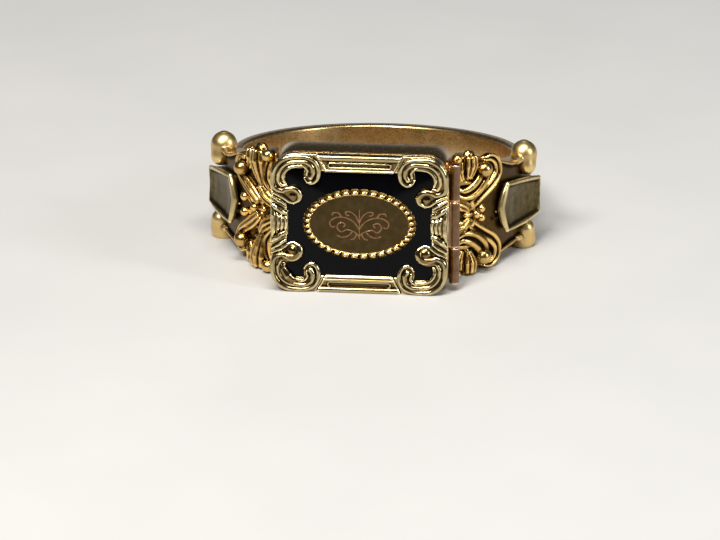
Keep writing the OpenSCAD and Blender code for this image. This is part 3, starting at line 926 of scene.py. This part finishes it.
def shoulder_scroll(side, z):
    """A C-scroll round a ball, with fluted leaves that reach to the head.

    A leaf is its path, its half widths, how far it stands off the plate and its number of ridges."""
    solid = sheet((5.2, -0.1), (10.7, 4.35), 1.15)
    if side < 0:
        main = [(7.3, 0.5), (7.9, 1.0), (8.5, 1.4), (9.2, 1.85), (9.6, 2.5), (9.25, 3.05), (8.75, 3.0)]
        leaves = [(main, [0.34, 0.42, 0.4, 0.32, 0.26, 0.22, 0.14], 0.08, 3),
                  ([(6.95, 1.6), (7.15, 2.4), (7.3, 3.1), (7.3, 3.7)], [0.2, 0.46, 0.62, 0.5], 0.14, 3),
                  ([(5.9, 0.55), (6.6, 0.95), (7.15, 1.55)], [0.36, 0.42, 0.2], 0.12, 3),
                  ([(6.1, 1.35), (6.5, 2.0), (6.5, 2.7), (6.3, 3.3)], [0.2, 0.34, 0.3, 0.2], 0.06, 2),
                  ([(8.3, 2.5), (8.15, 3.1), (8.3, 3.6)], [0.2, 0.32, 0.22], 0.04, 2)]
        balls = [((8.85, 2.35), 0.48), ((6.35, 3.62), 0.4), ((8.6, 0.5), 0.3)]
    else:
        main = [(7.0, 0.3), (7.5, 0.8), (8.3, 1.35), (9.0, 1.8), (9.5, 2.4), (9.45, 3.05), (9.0, 3.45),
                (8.4, 3.45)]
        leaves = [(main, [0.2, 0.3, 0.34, 0.34, 0.32, 0.28, 0.24, 0.14], 0.04, 2),
                  ([(8.15, 2.7), (8.0, 2.15), (7.4, 1.6), (6.7, 1.4), (6.15, 1.65)],
                   [0.36, 0.42, 0.42, 0.34, 0.2], 0.16, 2),
                  ([(6.3, 3.5), (6.2, 2.9), (6.5, 2.3)], [0.3, 0.42, 0.24], 0.1, 3),
                  ([(7.25, 3.7), (7.25, 3.1), (7.1, 2.4)], [0.4, 0.44, 0.2], 0.12, 3),
                  ([(5.9, 0.9), (6.6, 0.7), (7.1, 0.3)], [0.36, 0.4, 0.2], 0.1, 3)]
        balls = [((8.15, 2.85), 0.5), ((6.2, 3.75), 0.28), ((8.05, 0.3), 0.26)]
    mass = [solid.shadow(curve(path, 6), 1.1 * np.array(half)) for path, half, *_ in leaves]
    solid.add(np.maximum(np.minimum.reduce(mass), np.abs(solid.w - PLATE + 0.25) - 0.25), 0)
    for leaf in leaves:
        fluted(solid, *leaf)
    for centre, radius in balls:
        solid.add(solid.ball((*centre, PLATE + 0.7 * radius), radius), 0.03)
        foot = np.hypot(solid.u - centre[0], solid.v - centre[1]) - 0.8 * radius
        solid.add(np.maximum(foot, np.abs(solid.w - PLATE) - 0.25), 0.05)
    solid.within(PLATE - 0.3 - solid.w)
    half = "upper" if z > 0 else "lower"
    shoulder_piece("chased_scroll_" + half, side, solid, "scroll_" + half + "_", CHASED, z=z)


def flower(side):
    """Five grooved petals about a bead."""
    centre = np.array([7.58, 0.0])
    solid = sheet((6.5, -1.1), (8.7, 1.1), 0.8)
    for turn in range(5):
        angle = math.radians(72 * turn + 36)
        petal = np.array([centre, centre + 0.72 * np.array([math.cos(angle), math.sin(angle)])])
        solid.add(solid.strand(petal, [0.16, 0.26, 0.2], [PLATE + 0.1, PLATE + 0.2, PLATE + 0.05]), 0.02)
        solid.cut(solid.strand(petal, 0.04, [PLATE + 0.34, PLATE + 0.46, PLATE + 0.3]), 0.03)
    solid.add(solid.ball((*centre, PLATE + 0.25), 0.27), 0.02)
    solid.within(PLATE - 0.2 - solid.w)
    shoulder_piece("flower", side, solid, "rosette_", CHASED)


def cartouche(side):
    """A smooth hollow panel between a low ridge near the head and a high one by the hoop."""
    solid = sheet((9.3, -2.3), (LAST + 0.05, 2.3), 1.1)
    height = solid.along(curve([(9.3, -0.2), (9.9, 0.2), (10.6, 0.18), (11.7, 0.08), (12.8, 0.24),
                                (13.6, 0.5), (14.15, 0.66), (14.8, -0.1)]))
    dish = 0.22 * (solid.v / 1.5) ** 2
    half = solid.along(curve([(9.5, 1.1), (10.3, 1.45), (12.0, 1.4), (13.6, 1.25), (14.7, 1.0)]))
    side_edge = np.abs(solid.v) - half
    near_edge = 9.85 + 0.22 * solid.v**2 - solid.u
    solid.add(np.maximum(np.maximum(side_edge, near_edge), solid.w - PLATE - height - dish) * 0.8, 0)
    near = curve([(10.25, 1.5), (9.95, 0.9), (9.75, 0.0), (9.95, -0.9), (10.25, -1.5)], 8)
    level = [PLATE + 0.36, PLATE + 0.28, PLATE + 0.36]
    solid.add(solid.strand(near, [0.15, 0.22, 0.24, 0.22, 0.15], level), 0.05)
    for z in (-1, 1):
        rim = curve([(10.22, 1.48), (11.6, 1.42), (13.0, 1.28), (14.0, 1.1)], 8) * (1, z)
        level = [PLATE + 0.36, PLATE + 0.36, PLATE + 0.5, PLATE + 0.68]
        solid.add(solid.strand(rim, [0.15, 0.16, 0.16, 0.14], level), 0.05)
    far = curve([(14.0, 1.1), (14.2, 0.0), (14.0, -1.1)], 8)
    solid.add(solid.strand(far, [0.14, 0.17, 0.14], [PLATE + 0.7, PLATE + 0.6, PLATE + 0.7]), 0.05)
    solid.add(solid.ball((9.1, -0.66, PLATE + 0.2), 0.3), 0.03)
    solid.add(solid.strand(arc((9.1, -0.66), 0.55, 60, 200, 8), [0.07, 0.11, 0.07], PLATE + 0.15), 0.03)
    solid.within(PLATE - 0.3 - solid.w)
    solid.within(solid.u - LAST + 0.02)
    shoulder_piece("cartouche", side, solid, "panel_", PANEL)


def knobs(side):
    """A double knob at each edge of the shoulder's end."""
    solid = sheet((11.9, -3.6), (LAST + 0.1, 3.6), 1.05)
    for z in (-1, 1):
        solid.add(solid.ball((13.3, z * 2.8, PLATE - 0.1), 0.86), 0.05)
        solid.add(solid.ball((13.1, z * 2.1, PLATE + 0.15), 0.62), 0.3)
        solid.add(solid.strand([(12.0, z * 2.5), (13.0, z * 2.7)], [0.16, 0.36], PLATE - 0.05), 0.1)
    solid.within(FINGER_R + 0.2 - solid.w)
    solid.within(solid.u - LAST)
    shoulder_piece("knobs", side, solid, "end_knobs_", SATIN)


for side in (-1, 1):
    shoulder_plate(side)
    for z in (-1, 1):
        shoulder_scroll(side, z)
    flower(side)
    cartouche(side)
    knobs(side)

# ---- CAD nodes that keep their shape ----

CAD_LOOKS = {"case_back": GOLD, "compartment_floor": SATIN, "glass_rim": PALE, "crystal": CRYSTAL,
             "hinge_pin": ROSE}
for node, material in CAD_LOOKS.items():
    mesh = frame["nodes"][node].data
    mesh.materials.clear()
    mesh.materials.append(material)

# ---- Stage ----

# The ring lies on the head's lower edge and on the back of the hoop, so the floor slopes up behind it.
BACK_HALF = 1.6
FRONT_LOW = Vector((0.0, -PLATE_TOP - RELIEF, -HALF_H))
BACK_LOW = Vector((0.0, HOOP_BACK, -BACK_HALF))
TILT = math.atan2(BACK_LOW.z - FRONT_LOW.z, BACK_LOW.y - FRONT_LOW.y)
UP = Vector((0, -math.sin(TILT), math.cos(TILT)))


def floor():
    """A plain pale floor under the ring."""
    size = 400.0
    mesh = bpy.data.meshes.new("floor")
    along, aside = Vector((0, math.cos(TILT), math.sin(TILT))) * size, Vector((size, 0, 0))
    corners = [FRONT_LOW + along * y + aside * x for x, y in ((-1, -1), (1, -1), (1, 1), (-1, 1))]
    mesh.from_pydata([c / MM for c in corners], [], [(0, 1, 2, 3)])
    piece = bpy.data.objects.new("floor", mesh)
    bpy.context.scene.collection.objects.link(piece)
    n = Nodes("floor")
    color = n.mix(n.noise(0.08, 2), (0.44, 0.435, 0.42, 1), (0.50, 0.49, 0.475, 1))
    mesh.materials.append(n.use(Base_Color=color, Roughness=0.6))


floor()


def toward_place(azimuth, elevation):
    """The direction of a place, by its angles in degrees. Azimuth 0 is in front of the head."""
    a, e = math.radians(azimuth), math.radians(elevation)
    return Vector((math.sin(a) * math.cos(e), -math.cos(a) * math.cos(e), math.sin(e)))


def area_light(name, azimuth, elevation, distance, size, power, color):
    """A soft light, placed by its direction from the ring as seen over the floor."""
    direction = Matrix.Rotation(TILT, 3, "X") @ toward_place(azimuth, elevation)
    light = bpy.data.lights.new(name, "AREA")
    light.shape, light.size, light.size_y = "RECTANGLE", size[0] / MM, size[1] / MM
    light.energy, light.color = power, color
    lamp = bpy.data.objects.new(name, light)
    lamp.location = direction * distance / MM
    lamp.rotation_mode = "QUATERNION"
    lamp.rotation_quaternion = (-direction).to_track_quat("-Z", "Y")
    bpy.context.scene.collection.objects.link(lamp)


area_light("key", -28, 52, 250, (100, 55), 0.62, (1, 0.97, 0.92))
area_light("top", 10, 76, 230, (150, 50), 0.5, (1, 1, 1))
area_light("side", 70, 25, 250, (40, 110), 0.24, (0.93, 0.98, 1))

world = bpy.data.worlds.new("world")
world.use_nodes = True
world.node_tree.nodes["Background"].inputs["Color"].default_value = (0.72, 0.74, 0.78, 1)
world.node_tree.nodes["Background"].inputs["Strength"].default_value = 0.06
bpy.context.scene.world = world

AZIMUTH, ELEVATION, ROLL, DISTANCE, LENS = 6.0, 15.5, -0.6, 280.0, 223.9
AIM_BELOW_FACE, AIM_RIGHT = 2.74, 0.09
toward = toward_place(AZIMUTH, ELEVATION)
right = Matrix.Rotation(math.radians(ROLL), 3, toward) @ (-toward).cross(UP).normalized()
above = right.cross(-toward)
camera = bpy.data.objects.new("camera", bpy.data.cameras.new("camera"))
bpy.context.scene.collection.objects.link(camera)
camera.data.lens, camera.data.sensor_width = LENS, 36.0
aim = Vector((0, -PLATE_TOP - RELIEF, 0)) - above * AIM_BELOW_FACE + right * AIM_RIGHT
turn = Matrix((right, above, toward)).transposed().to_4x4()
camera.matrix_world = Matrix.Translation((aim + toward * DISTANCE) / MM) @ turn
camera.data.clip_start, camera.data.clip_end = 0.01, 5.0
bpy.context.scene.camera = camera
bpy.context.scene.view_settings.view_transform = "Standard"

bpy.context.view_layer.update()
